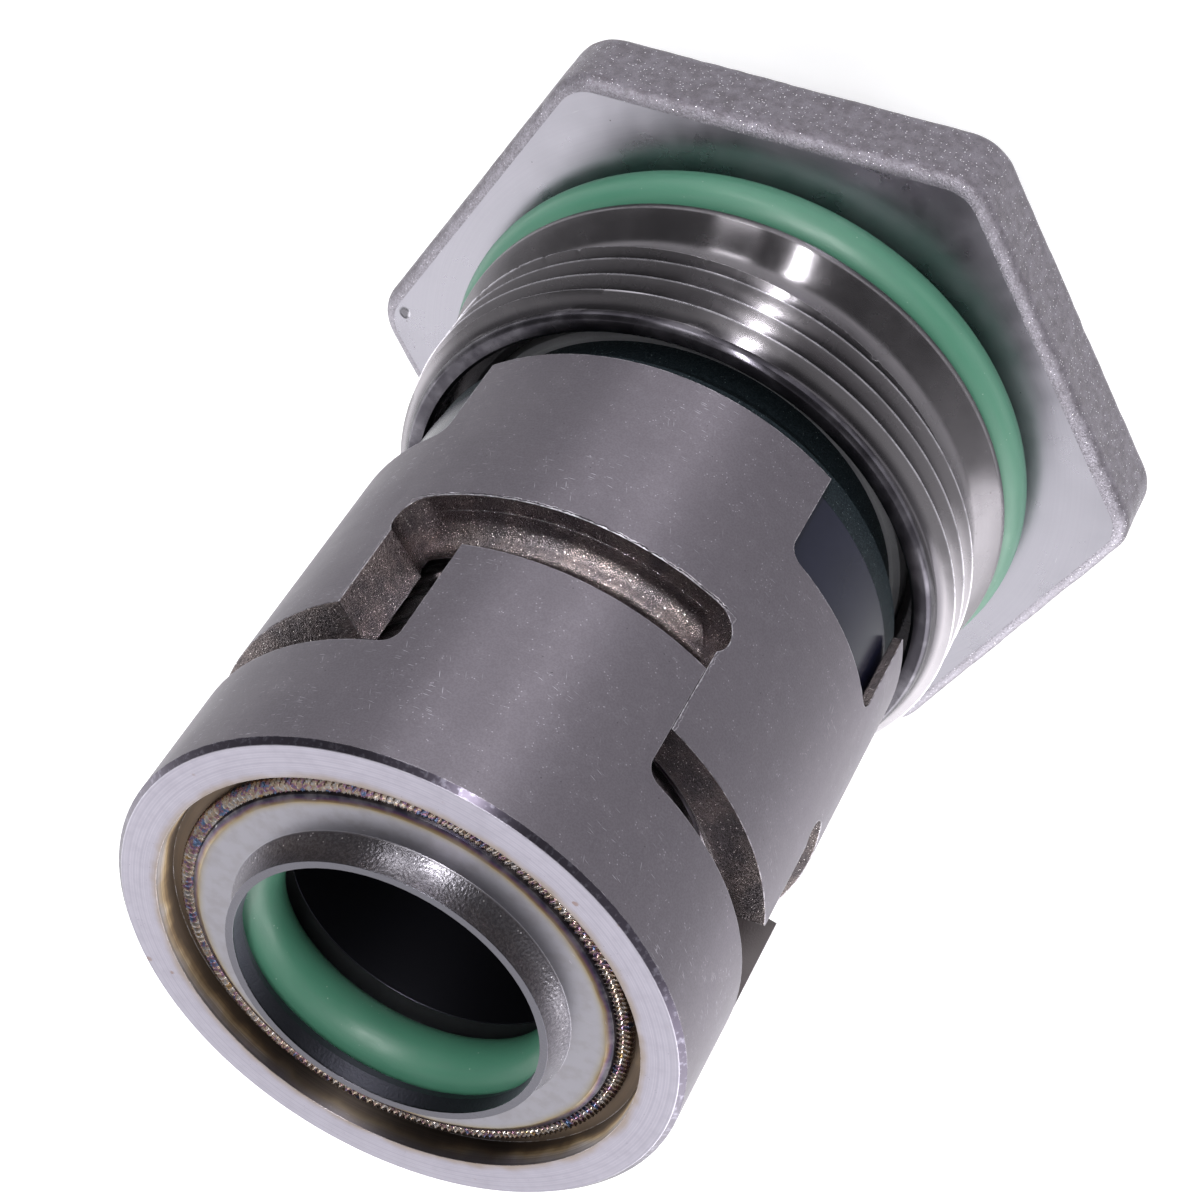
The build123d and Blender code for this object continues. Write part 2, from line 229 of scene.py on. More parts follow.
class Recipe(Nodes):
    """Material; pos is the point in millimetres, r its distance from the axis, turn its angle in radians."""

    def __init__(self, name):
        self.mat = bpy.data.materials.new(name)
        self.mat.use_nodes = True
        super().__init__(self.mat.node_tree)
        self.tree.nodes.clear()
        coord = self.add("ShaderNodeTexCoord").outputs["Object"]
        self.pos = self.add("ShaderNodeVectorMath", {0: coord, 3: 1 / MM}, operation="SCALE").outputs[0]
        self.x, self.y, self.z = self.add("ShaderNodeSeparateXYZ", {0: self.pos}).outputs
        self.r = self.math("SQRT", self.plus(self.times(self.x, self.x), self.times(self.y, self.y)))
        self.turn = self.math("ARCTAN2", self.y, self.x)

    def join(self, x, y, z):
        return self.add("ShaderNodeCombineXYZ", {0: x, 1: y, 2: z}).outputs[0]

    def grain(self, size_mm, detail=2.0, rough=0.5, vector=None):
        """Noise whose features are about size_mm across, 0 to 1."""
        vector = self.pos if vector is None else vector
        return self.add("ShaderNodeTexNoise", {"Vector": vector, "Scale": 1.0 / size_mm,
                        "Detail": detail, "Roughness": rough}).outputs[0]

    def cells(self, size_mm):
        """Distance to the nearest of scattered points about size_mm apart."""
        cell = self.add("ShaderNodeTexVoronoi", {"Vector": self.pos, "Scale": 1.0 / size_mm})
        return cell.outputs["Distance"]

    def specks(self, spacing_mm, core, rim, patch_mm, patch_low, patch_high):
        """Dots about spacing_mm apart, full inside core and gone past rim, only in patches of patch_mm."""
        return self.times(self.fall(self.cells(spacing_mm), core, rim),
                          self.step(self.grain(patch_mm), patch_low, patch_high))

    def glints(self, spacing_mm, rarity):
        """Mask of scattered facets, smoother and given a painted glint where used; the higher the rarity, the
        fewer.
        """
        cell = self.add("ShaderNodeTexVoronoi", {"Vector": self.pos, "Scale": 1 / spacing_mm})
        pick = self.add("ShaderNodeSeparateXYZ", {0: cell.outputs["Color"]}).outputs[0]
        near = self.fall(cell.outputs["Distance"], 0.2, 0.45)
        return self.times(self.step(pick, rarity, rarity + 0.05), near)

    def tint(self, amount, a, b):
        """Colour a, going to colour b as amount goes to 1."""
        ends = [end if isinstance(end, bpy.types.NodeSocket) else (*end, 1.0) for end in (a, b)]
        return self.add("ShaderNodeMix", {0: amount, 6: ends[0], 7: ends[1]}, data_type="RGBA").outputs[2]

    def ramp(self, amount, stops):
        node = self.add("ShaderNodeValToRGB", {0: amount})
        marks = node.color_ramp.elements
        while len(marks) < len(stops):
            marks.new(0.5)
        for mark, (place, colour) in zip(marks, stops):
            mark.position = place
            mark.color = (*colour, 1.0)
        return node.outputs[0]

    def on_outside(self, radius):
        """1 on the surface at this radius, 0 further in."""
        return self.step(self.r, radius - 0.035, radius - 0.02)

    def rounded(self, radius_mm):
        """Shading normal with edges rounded to radius_mm."""
        return self.add("ShaderNodeBevel", {"Radius": radius_mm * MM}, samples=6).outputs[0]

    def edges(self, soft):
        """Mask of the edges that the normal from rounded() turns away from the true one."""
        true = self.add("ShaderNodeNewGeometry").outputs["True Normal"]
        return self.step(self.minus(1.0, self.vec("DOT_PRODUCT", soft, true)), 0.004, 0.08)

    def bump(self, height, distance_mm, normal=None):
        inputs = {"Height": height, "Distance": distance_mm * MM, "Strength": 1.0}
        if normal is not None:
            inputs["Normal"] = normal
        return self.add("ShaderNodeBump", inputs).outputs[0]

    def finish(self, colour, roughness, normal, metallic=1.0, anisotropic=None, sockets=None):
        """Returns the finished material; anisotropic stretches its highlights as turning does."""
        inputs = {"Base Color": colour, "Roughness": roughness, "Metallic": metallic, "Normal": normal}
        inputs.update(sockets or {})
        if anisotropic:
            tangent = self.add("ShaderNodeTangent", direction_type="RADIAL", axis="Z").outputs[0]
            inputs.update({"Anisotropic": anisotropic, "Anisotropic Rotation": 0.25, "Tangent": tangent})
        shader = self.add("ShaderNodeBsdfPrincipled", inputs)
        self.add("ShaderNodeOutputMaterial", {"Surface": shader.outputs[0]})
        return self.mat


# ---------------------------------------------------------------- wear that several materials share
def scratches(m, seed, length_mm, width_mm, amount, lean):
    """Mask of short straight marks, lean radians off the circumference."""
    unrolled = m.join(m.times(m.turn, 15.0), m.plus(m.z, m.r), 0.0)
    leaning = m.add("ShaderNodeVectorRotate", {"Vector": unrolled, "Angle": lean}, rotation_type="Z_AXIS")
    per_mark = (1 / length_mm, 1 / width_mm, 1.0)
    place = m.vec("MULTIPLY_ADD", leaning.outputs[0], per_mark, (seed * 7.3, seed * 3.1, 0.0))
    cell = m.add("ShaderNodeTexVoronoi", {"Vector": place, "Scale": 1.0}, voronoi_dimensions="2D")
    pick = m.add("ShaderNodeSeparateXYZ", {0: cell.outputs["Color"]}).outputs[0]
    return m.times(m.fall(cell.outputs["Distance"], 0.10, 0.30), m.step(pick, 1 - amount, 1 - amount + 0.01))


def all_scratches(m, amount, length_mm=0.8, width_mm=0.06):
    """Marks leaning several ways, added together, thicker in some places than in others."""
    total = scratches(m, 1, length_mm, width_mm, amount, 0.05)
    for seed, lean in enumerate((-0.12, 0.22, 1.2), 2):
        longer = length_mm * (0.3 + 0.25 * seed)
        total = m.most(total, scratches(m, seed, longer, width_mm, amount * 0.5, lean))
    return m.times(total, m.step(m.grain(4.5), 0.48, 0.68))


def turned_lines(m, pitch_mm):
    """Fine circles about the axis, the same on ends and sides."""
    wobble = m.times(m.grain(6.0), 0.06)
    return m.grain(pitch_mm, 3.0, 0.6, m.join(m.plus(m.r, wobble), 0.0, m.plus(m.z, wobble)))


def satin_side(m):
    """Ground satin outside of the ring and cup, as (colour, stain)."""
    stain = m.grain(3.2, 4.0, 0.6)
    pits = m.specks(0.5, 0.05, 0.09, 1.1, 0.52, 0.60)
    dust = m.specks(0.23, 0.10, 0.20, 0.9, 0.50, 0.62)
    marks = all_scratches(m, 0.035)
    colour = m.tint(stain, *SATIN)
    colour = m.tint(m.step(m.grain(0.9, 3.0, 0.6), 0.45, 0.75, 0.0, 0.16), colour, SATIN_CLOUD)
    colour = m.tint(m.step(m.grain(0.10, 2.0, 0.6), 0.40, 0.62, 0.0, 0.35), colour, SATIN_GRAIN)
    colour = m.tint(m.times(dust, 0.45), colour, SATIN_DUST)
    colour = m.tint(m.times(marks, 0.50), colour, SCRATCH)
    colour = m.tint(m.times(pits, 0.75), colour, PIT)
    return colour, stain


# ---------------------------------------------------------------- materials
def window_outline(m, ground):
    """Ragged outline of the windows on the ring's outside, as masks: painted highlight lines, and painted
    shade between.
    """
    wobble = m.times(m.minus(m.grain(0.45, 3.0, 0.7), 0.5), 0.40)
    from_window = m.plus(m.turn, 2 * TAU + TAU / 6 - math.radians(HEAD_TURN))
    off_middle = m.math("ABSOLUTE", m.minus(m.math("MODULO", from_window, TAU / 3), TAU / 6))
    past_side = m.times(m.minus(off_middle, WINDOW_HALF), RING_R)
    past_rim = m.plus(m.most(past_side, m.minus(WINDOW_FLOOR, m.z)), wobble)
    near_window = m.times(ground, m.step(m.z, WINDOW_FLOOR - 1.0, WINDOW_FLOOR - 0.8))
    level = m.step(off_middle, WINDOW_HALF - 0.06, WINDOW_HALF - 0.03, 1.0, 0.25)
    # the bright lines are a painted highlight, weaker on the side walls; the dark line between them is
    # painted shade
    second_painted_highlight = m.times(m.band(past_rim, 0.13, 0.17, 0.015), m.step(m.grain(2.1), 0.45, 0.55))
    bright = m.plus(m.band(past_rim, -0.02, 0.04, 0.02), second_painted_highlight)
    broken = m.step(m.grain(0.5, 3.0, 0.6, m.vec("ADD", m.pos, (3.0, 8.0, 1.0))), 0.36, 0.60, 0.15, 1.0)
    bright = m.times(bright, m.times(level, broken))
    dark = m.times(m.band(past_rim, 0.05, 0.12, 0.02), level)
    return m.times(near_window, bright), m.times(near_window, dark)


def sintered_ring(name):
    """Ground outside with fine scratches, everything else raw and granular."""
    m = Recipe(name)
    soft = m.rounded(0.10)
    ground = m.on_outside(RING_R)
    not_ground = m.minus(1.0, ground)
    satin, stain = satin_side(m)
    bright, dark = window_outline(m, ground)
    # painted highlight and painted shade along the window outlines; the line of painted shade is also pressed
    # in as a groove below
    satin = m.tint(m.times(bright, 0.85), satin, RIM_PAINTED_HIGHLIGHT)
    satin = m.tint(m.times(dark, 0.85), satin, RIM_PAINTED_SHADE)
    fine = m.grain(0.11, 3.0, 0.7)
    glint = m.glints(0.085, 0.87)
    raw = m.tint(m.step(m.grain(1.9, 3.0, 0.6), 0.35, 0.65), *RAW_CAST)
    raw = m.tint(m.step(fine, 0.45, 0.66, 0.0, 0.6), raw, RAW_GRAIN)
    # painted glint: near-white colour on the scattered facets
    raw = m.tint(m.times(glint, 0.95), raw, RAW_PAINTED_GLINT)
    colour = m.tint(ground, raw, satin)
    ragged = m.times(m.edges(soft), m.step(m.grain(0.35, 3.0, 0.7), 0.42, 0.56))
    colour = m.tint(m.times(ragged, 0.5), colour, RAGGED_EDGE)
    roughness = m.plus(m.times(ground, m.step(stain, 0.3, 0.7, 0.42, 0.47)),
                       m.times(not_ground, m.step(glint, 0.0, 1.0, 0.25, 0.18)))
    raw_height = m.times(not_ground, m.plus(m.times(fine, 0.85), m.times(m.grain(0.40), 0.7)))
    ground_height = m.times(ground, m.plus(m.times(turned_lines(m, 0.09), 0.14), m.times(dark, -0.8)))
    return m.finish(colour, roughness, m.bump(m.plus(raw_height, ground_height), 0.05, soft),
                    anisotropic=m.times(ground, SATIN_SPREAD))


def turned_steel(name, dark, light, rough, scratched=0.02, line_depth=0.12, pitch_mm=0.1, anisotropic=0.75,
                 bevel=0.06, crest=None, dings=()):
    """Plain turned steel with faint rings, scratches and small pits; crest is the radius of a thread's
    crests, which get a painted highlight, with painted shade towards the roots, and dings are dents given as
    (place, radius)."""
    m = Recipe(name)
    soft = m.rounded(bevel)
    stain = m.grain(3.0, 4.0, 0.6)
    marks = all_scratches(m, scratched)
    lines = turned_lines(m, pitch_mm)
    pit = m.specks(0.8, 0.04, 0.07, 1.7, 0.54, 0.60)
    worn = m.times(m.edges(soft), m.step(m.grain(0.5, 3.0, 0.7), 0.38, 0.55))
    colour = m.tint(stain, dark, light)
    colour = m.tint(m.step(lines, 0.3, 0.7, 0.0, 0.25), colour, light)
    colour = m.tint(m.times(marks, 0.5), colour, RUBBED)
    colour = m.tint(m.times(pit, 0.7), colour, TURNED_PIT)
    colour = m.tint(m.times(worn, 0.4), colour, RUBBED)
    if crest is not None:
        # painted highlight along the thread's crests, in patches, and painted shade towards its roots
        patchy = m.step(m.grain(0.9, 3.0, 0.6), 0.3, 0.6, 0.35, 1.0)
        crest_highlight = m.times(m.step(m.r, crest - 0.10, crest - 0.03), patchy)
        colour = m.tint(m.times(crest_highlight, 0.75), colour, CREST_PAINTED_HIGHLIGHT)
        colour = m.tint(m.step(m.r, crest - 0.80, crest - 0.45, 0.7, 0.0), colour, ROOT_PAINTED_SHADE)
        dents = m.step(m.grain(1.6, 3.0, 0.5, m.vec("ADD", m.pos, (9.0, 4.0, 2.0))), 0.40, 0.70)
        at_end = m.step(m.z, THREAD_END - 0.05, THREAD_END + 0.10)
        colour = m.tint(m.times(at_end, 0.85), colour, m.tint(dents, *OPEN_END))
    height = m.times(lines, line_depth)
    for place, size in dings:
        away = m.plus(m.vec("LENGTH", m.vec("SUBTRACT", m.pos, place)), m.times(m.grain(0.5), 0.3))
        ding = m.fall(away, size, size + 0.22)
        colour = m.tint(m.times(ding, 0.8), colour, DING)
        height = m.minus(height, m.times(ding, 3.0))
    return m.finish(colour, m.step(stain, 0.3, 0.7, rough - 0.04, rough + 0.05), m.bump(height, 0.02, soft),
                    anisotropic=anisotropic)


def cup_end_face(m, lines):
    """Bright faced end of the cup, with brown spots and specks."""
    face = m.tint(m.step(lines, 0.25, 0.75), *FACED)
    face = m.tint(m.step(m.grain(0.8, 3.0, 0.6), 0.35, 0.8, 0.0, 0.35), face, FACED_CLOUD)
    spot = m.fall(m.plus(m.cells(1.9), m.times(m.grain(0.25), 0.08)), 0.10, 0.14)
    spot = m.times(spot, m.step(m.grain(4.0), 0.48, 0.56))
    face = m.tint(m.times(spot, 0.65), face, RUST_SPOT)
    return m.tint(m.times(m.specks(0.3, 0.08, 0.14, 1.2, 0.52, 0.62), 0.6), face, FACED_SPECK)


def cup_recess(m, lines):
    """Browned wall beside the weld, with painted shade on one side."""
    depth = m.step(m.z, RECESS_FLOOR, CUP_FACE)
    heat = m.plus(depth, m.times(m.minus(m.grain(2.4, 3.0), 0.5), 1.3))
    brown = m.ramp(m.step(heat, 0.1, 1.3), RECESS_HEAT)
    # painted shade on the side of the recess round this turn
    shade_turn = math.radians(82)
    side_shade = m.plus(m.math("COSINE", m.minus(m.turn, shade_turn)), m.times(m.grain(3.0, 3.0), 0.3))
    brown = m.tint(m.step(side_shade, 0.85, 1.10, 0.0, 0.85), brown, RECESS_PAINTED_SHADE)
    return m.tint(m.step(lines, 0.35, 0.65, 0.0, 0.45), brown, RECESS_LINES)


def driver_cup_steel(name):
    """Satin side, bright faced end, browned recess beside the weld, dark raw edges of the lugs."""
    m = Recipe(name)
    soft = m.rounded(0.07)
    lines = turned_lines(m, 0.10)
    side, stain = satin_side(m)
    is_face = m.step(m.z, CUP_FACE - 0.04, CUP_FACE - 0.02)
    in_recess = m.times(m.fall(m.r, RECESS_R - 0.05, RECESS_R + 0.05),
                        m.step(m.z, RECESS_FLOOR - 0.2, RECESS_FLOOR - 0.1))
    colour = m.tint(is_face, side, cup_end_face(m, lines))
    colour = m.tint(in_recess, colour, cup_recess(m, lines))
    ragged_r = m.plus(m.r, m.times(m.grain(1.8, 3.0), 0.7))
    blush = m.times(m.fall(ragged_r, RECESS_R + 0.30, RECESS_R + 0.85), is_face)
    colour = m.tint(m.times(blush, 0.7), colour, HEAT_BLUSH)
    raw = m.times(m.minus(1.0, m.on_outside(CUP_R)), m.fall(m.z, CUP_FACE - 4.0, CUP_FACE - 3.9))
    colour = m.tint(raw, colour, CUP_INSIDE)
    near_face = m.band(m.z, CUP_FACE - 0.30, CUP_FACE - 0.03, 0.015)
    chamfer = m.times(near_face, m.step(m.r, CUP_R - 0.4, CUP_R - 0.35))
    chamfer_colour = m.tint(m.step(m.grain(0.3, 3.0), 0.5, 0.75), *CHAMFER)
    colour = m.tint(m.times(chamfer, 0.85), colour, chamfer_colour)
    worn = m.times(m.edges(soft), m.step(m.grain(0.5, 3.0, 0.7), 0.40, 0.58))
    colour = m.tint(m.times(worn, 0.40), colour, RUBBED)
    fine = m.times(m.grain(0.13, 3.0, 0.7), m.times(raw, 0.9))
    height = m.plus(m.times(lines, 0.16), fine)
    roughness = m.plus(m.step(stain, 0.3, 0.7, 0.42, 0.47), m.times(m.plus(raw, chamfer), 0.05))
    roughness = m.minus(roughness, m.times(chamfer, 0.16))
    return m.finish(colour, roughness, m.bump(height, 0.02, soft),
                    anisotropic=m.step(is_face, 0.0, 1.0, SATIN_SPREAD, 0.25))


def sleeve_steel(name):
    """Turned sleeve, with heat tint round the weld on its head, a granular neck with painted glints at its
    root, and painted shade in its bore and mouth and on the lip's inner edge.
    """
    m = Recipe(name)
    marks = all_scratches(m, 0.015)
    wobble = m.times(m.minus(m.grain(3.0, 3.0), 0.5), 0.40)
    head = m.ramp(m.step(m.plus(m.r, wobble), HEAD_R - 1.0, HEAD_R), HEAD_HEAT)
    head = m.tint(m.step(m.grain(0.7, 3.0), 0.4, 0.7, 0.0, 0.35), head, HEAD_CLOUD)
    on_head = m.step(m.z, DISC_Z - 0.7, DISC_Z - 0.6)
    colour = m.tint(on_head, m.tint(m.grain(2.5, 3.0), *SLEEVE), head)
    on_neck = m.step(m.z, DISC_Z + 0.02, DISC_Z + 0.12)
    colour = m.tint(on_neck, colour, m.tint(m.step(m.grain(0.14, 2.0, 0.6), 0.35, 0.7), *NECK))
    # painted glints: near-white specks round the neck's root
    neck_root = m.band(m.z, DISC_Z + 0.08, DISC_Z + 0.55, 0.04)
    root_glint = m.specks(0.24, 0.10, 0.20, 0.7, 0.44, 0.54)
    colour = m.tint(m.times(m.times(neck_root, root_glint), 0.9), colour, NECK_PAINTED_GLINT)
    colour = m.tint(m.times(marks, 0.5), colour, SLEEVE_SCRATCH)
    # painted shade in the bore, on the lip's inner edge, and in the mouth below the lip
    colour = m.tint(m.fall(m.r, BORE_R + 0.03, BORE_R + 0.06), colour, SLEEVE_BORE_PAINTED_SHADE)
    lip = m.tint(m.step(m.r, LIP_R - 0.02, LIP_R + 0.06), LIP_INNER_PAINTED_SHADE, m.tint(m.grain(0.5), *LIP_FACE))
    colour = m.tint(m.step(m.z, LIP_Z - 0.06, LIP_Z - 0.03), colour, lip)
    inside_neck = m.fall(m.r, LIP_R - 0.13, LIP_R - 0.08)
    inside_head = m.times(m.fall(m.z, DISC_Z - 0.06, DISC_Z - 0.03), m.fall(m.r, 10.0, 10.1))
    mouth = m.times(m.most(inside_neck, inside_head), m.band(m.z, DISC_Z - 2.6, LIP_Z - 0.1, 0.05))
    colour = m.tint(mouth, colour, m.tint(m.grain(1.5), *MOUTH_PAINTED_SHADE))
    granular = m.times(m.times(on_neck, m.grain(0.16, 3.0)), 1.1)
    height = m.plus(m.times(turned_lines(m, 0.09), 0.12), granular)
    roughness = m.plus(m.step(on_neck, 0.0, 1.0, 0.36, 0.31), m.times(mouth, 0.2))
    return m.finish(colour, roughness, m.bump(height, 0.02, m.rounded(0.05)),
                    anisotropic=m.step(on_neck, 0.0, 1.0, 0.3, 0.75))


def weld_metal(name):
    """Silvery bead with straw, purple and blue oxide that changes from ripple to ripple."""
    m = Recipe(name)
    patch = m.times(m.minus(m.grain(1.1, 4.0, 0.65), 0.5), 1.5)
    ripple = m.grain(0.30, 2.0, 0.5, m.vec("ADD", m.pos, (5.0, 2.0, 7.0)))
    dust = m.grain(0.15, 2.0, 0.6)
    film = m.ramp(m.plus(patch, ripple), WELD_FILM)
    colour = m.tint(m.step(dust, 0.4, 0.7, 0.0, 0.25), film, WELD_DUST)
    return m.finish(colour, m.step(dust, 0.3, 0.7, 0.20, 0.32), m.bump(dust, 0.005))


def carbide(name):
    """Blue-black seal ring, smooth where ground and granular on the raw band, with painted glints there."""
    m = Recipe(name)
    fine = m.grain(0.10, 3.0, 0.7)
    raw = m.tint(m.step(fine, 0.35, 0.7), *CARBIDE_RAW)
    # painted glints: bright specks on the raw band
    raw = m.tint(m.specks(0.16, 0.06, 0.14, 0.8, 0.45, 0.55), raw, CARBIDE_PAINTED_GLINT)
    on_raw = m.fall(m.z, SEAL_RAW_TOP - 0.03, SEAL_RAW_TOP + 0.03)
    colour = m.tint(on_raw, m.tint(m.grain(2.6, 3.0), *CARBIDE), raw)
    height = m.plus(m.times(on_raw, fine), m.times(turned_lines(m, 0.15), 0.03))
    sockets = {"IOR": 1.5, "Specular IOR Level": 0.09, "Specular Tint": (0.80, 0.86, 1.0, 1.0)}
    return m.finish(colour, m.step(on_raw, 0.0, 1.0, 0.24, 0.5), m.bump(height, 0.05, m.rounded(0.05)),
                    metallic=0.0, sockets=sockets)


def seat_ceramic(name):
    """Grey ceramic of the hidden seat."""
    m = Recipe(name)
    fine = m.grain(0.12, 3.0, 0.7)
    colour = m.tint(m.grain(2.0, 3.0), *CERAMIC)
    colour = m.tint(m.step(fine, 0.5, 0.75, 0.0, 0.5), colour, CERAMIC_GRAIN)
    return m.finish(colour, m.step(fine, 0.3, 0.7, 0.28, 0.4), m.bump(fine, 0.01, m.rounded(0.05)),
                    metallic=0.0, sockets={"IOR": 1.8})


def green_rubber(name):
    """Matt fluoroelastomer with faint moulding lines, dust and small marks."""
    m = Recipe(name)
    fine = m.grain(0.12, 3.0, 0.6)
    streak = m.grain(0.5, 3.0, 0.6, m.join(m.times(m.turn, 2.0), m.r, m.z))
    colour = m.tint(m.grain(3.5, 3.0), *RUBBER)
    colour = m.tint(m.times(m.specks(0.5, 0.05, 0.10, 1.4, 0.50, 0.58), 0.6), colour, RUBBER_DUST)
    colour = m.tint(m.step(streak, 0.5, 0.75, 0.0, 0.35), colour, RUBBER_STREAK)
    height = m.plus(m.times(fine, 0.5), m.times(streak, 0.6))
    return m.finish(colour, m.step(streak, 0.3, 0.7, 0.36, 0.50), m.bump(height, 0.012), metallic=0.0,
                    sockets={"Specular IOR Level": 0.55})


def cast_steel(name):
    """Investment cast skin of the hexagon: granular, and brighter where its edges are rubbed."""
    m = Recipe(name)
    fine = m.grain(0.13, 4.0, 0.75)
    lump = m.grain(0.6, 3.0, 0.6)
    glint = m.glints(0.10, 0.88)
    colour = m.tint(m.step(lump, 0.3, 0.7), *HEX_SKIN)
    colour = m.tint(m.step(fine, 0.5, 0.7, 0.0, 0.6), colour, HEX_GRAIN)
    # painted glint on the scattered facets
    colour = m.tint(m.times(glint, 0.75), colour, HEX_PAINTED_GLINT)
    ragged_z = m.plus(m.z, m.times(m.minus(m.grain(0.9, 3.0, 0.6), 0.5), 0.5))
    near_top = m.step(ragged_z, HEX_TOP - 0.50, HEX_TOP - 0.05)
    near_edge = m.most(near_top, m.fall(ragged_z, HEX_LOW + 0.05, HEX_LOW + 0.50))
    colour = m.tint(m.times(near_edge, m.step(fine, 0.3, 0.6, 0.55, 0.25)), colour, HEX_EDGE)
    height = m.plus(fine, m.times(lump, 0.8))
    return m.finish(colour, m.step(glint, 0.0, 1.0, 0.42, 0.2), m.bump(height, 0.05))


def spring_wire(name):
    """Bright drawn wire with dull patches."""
    m = Recipe(name)
    draw = m.grain(0.35, 3.0, 0.6, m.join(m.times(m.turn, 1.2), m.r, m.z))
    dull = m.step(m.grain(1.8, 3.0), 0.5, 0.7, 0.0, 0.5)
    colour = m.tint(dull, m.tint(draw, *WIRE), WIRE_DULL)
    height = m.plus(m.grain(0.10, 3.0, 0.6), draw)
    return m.finish(colour, m.step(draw, 0.3, 0.7, 0.16, 0.26), m.bump(height, 0.008))


steel_ring = sintered_ring("sintered_steel_ring")
steel_cup = driver_cup_steel("turned_steel_cup")
steel_sleeve = sleeve_steel("turned_steel_sleeve")
steel_gland = turned_steel("turned_steel_gland", (0.105, 0.099, 0.107), (0.155, 0.146, 0.158), rough=0.24,
                           scratched=0.006, line_depth=0.05, pitch_mm=0.12, anisotropic=1.0, bevel=0.02)
steel_thread = turned_steel("turned_steel_thread", (0.125, 0.118, 0.127), (0.195, 0.184, 0.198), rough=0.25,
                            scratched=0.006, line_depth=0.04, pitch_mm=0.12, anisotropic=0.85, bevel=0.02,
                            crest=THREAD_CREST)
steel_face = turned_steel("faced_steel_gland", (0.26, 0.252, 0.285), (0.34, 0.33, 0.37), rough=0.30,
                          scratched=0.010, line_depth=0.12, pitch_mm=0.12, anisotropic=0.3, bevel=0.04,
                          dings=(((21.49, -0.64, 13.55), 0.36), ((18.73, 1.28, 13.55), 0.28)))
steel_lock = turned_steel("turned_steel_lock_ring", (0.20, 0.19, 0.21), (0.29, 0.28, 0.31), rough=0.30)
steel_screw = turned_steel("screw_steel", (0.10, 0.098, 0.10), (0.16, 0.155, 0.16), rough=0.28,
                           scratched=0.02, line_depth=0.05, pitch_mm=0.2, anisotropic=0.0, bevel=0.04)
steel_washer = turned_steel("washer_steel", (0.26, 0.25, 0.27), (0.36, 0.35, 0.38), rough=0.30)
steel_cast = cast_steel("cast_steel_hexagon")
wire = spring_wire("spring_wire")
weld = weld_metal("weld_metal")
rubber = green_rubber("green_rubber")
seal_material = carbide("seal_carbide")
seat_material = seat_ceramic("seat_ceramic")

looks = {
    "gland_plate": steel_gland, "gland_o_ring": rubber, "stationary_seat": seat_material,
    "seat_o_ring": rubber,
    "rotating_seal_ring": seal_material, "seal_ring_o_ring": rubber, "torque_ring": steel_ring,
    "thrust_ring": steel_washer, "spring": wire, "driver_cup": steel_cup, "shaft_sleeve": steel_sleeve,
    "weld_seam": weld, "shaft_o_ring": rubber, "lock_ring": steel_lock, "set_screw_1": steel_screw,
    "set_screw_2": steel_screw, "set_screw_3": steel_screw,
}
for node, look in looks.items():
    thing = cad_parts[node]
    thing.data.materials.clear()
    thing.data.materials.append(look)


# ---------------------------------------------------------------- mesh helpers
def mesh_piece(name, points, faces, zones, materials, sharp_deg):
    """Closed mesh with smooth shading and outward normals; zones holds the material number of each face."""
    mesh = bpy.data.meshes.new(name)
    mesh.from_pydata(points, [], faces)
    for material in materials:
        mesh.materials.append(material)
    mesh.polygons.foreach_set("material_index", zones)
    work = bmesh.new()
    work.from_mesh(mesh)
    bmesh.ops.remove_doubles(work, verts=work.verts, dist=2e-7)
    bmesh.ops.dissolve_degenerate(work, dist=1e-7, edges=work.edges)
    bmesh.ops.recalc_face_normals(work, faces=work.faces)
    for face in work.faces:
        face.smooth = True
    work.to_mesh(mesh)
    work.free()
    mesh.set_sharp_from_angle(angle=math.radians(sharp_deg))
    piece = bpy.data.objects.new(name, mesh)
    scene.collection.objects.link(piece)
    return piece


def skin(name, rows, materials, sharp_deg, row_zones=None, wraps=None):
    """Joins rows of points round the axis into one closed mesh. row_zones gives the material number of the
    faces after each row. wraps[i] is the row at the first column that carries on from row i's last column, so
    a screw thread's rows can climb by one pitch each turn; without it, each row closes on itself."""
    total = len(rows)
    count = len(rows[0])
    wraps = wraps or range(total)
    row_zones = row_zones or [0] * total
    faces = []
    zones = []
    for i in range(total):
        k = (i + 1) % total
        for j in range(count):
            if j < count - 1:
                faces.append((i * count + j, i * count + j + 1, k * count + j + 1, k * count + j))
            else:
                faces.append((i * count + j, wraps[i] * count, wraps[k] * count, k * count + j))
            zones.append(row_zones[i])
    points = (np.concatenate(rows) * MM).tolist()
    return mesh_piece(name, points, faces, zones, materials, sharp_deg)


def circle_rows(angles, path):
    """One row of points for each (radius, height) of the path; either may be an array over the angles."""
    rows = []
    for radius, height in path:
        radius = np.broadcast_to(radius, angles.shape)
        height = np.broadcast_to(height, angles.shape)
        rows.append(np.stack([radius * np.cos(angles), radius * np.sin(angles), height], 1))
    return rows


def ring_noise(angles, scale, height):
    """Smooth irregularity from -1 to 1 round a ring, faster as scale grows."""
    points = [Vector((math.cos(a) * scale, math.sin(a) * scale, height)) for a in angles]
    return np.array([noise.noise(point) for point in points])


def bumps(angles, height, seed, size):
    """Irregularity of the gland's skin, with features about size across."""
    return ring_noise(angles, 20 / size, height / size + seed)


# ---------------------------------------------------------------- gland with its real thread
COLUMNS = 720
angles = np.arange(COLUMNS) * TAU / COLUMNS
HALF_FLATS = 20.3
CORNER_R = 3.0
EDGE_R = 0.8
HEX_INSET = 0.032
EDGE_STEPS = 7
SIDE_STEPS = 14
TURNED_ZONE, CAST_ZONE, FACE_ZONE, THREAD_ZONE = range(4)


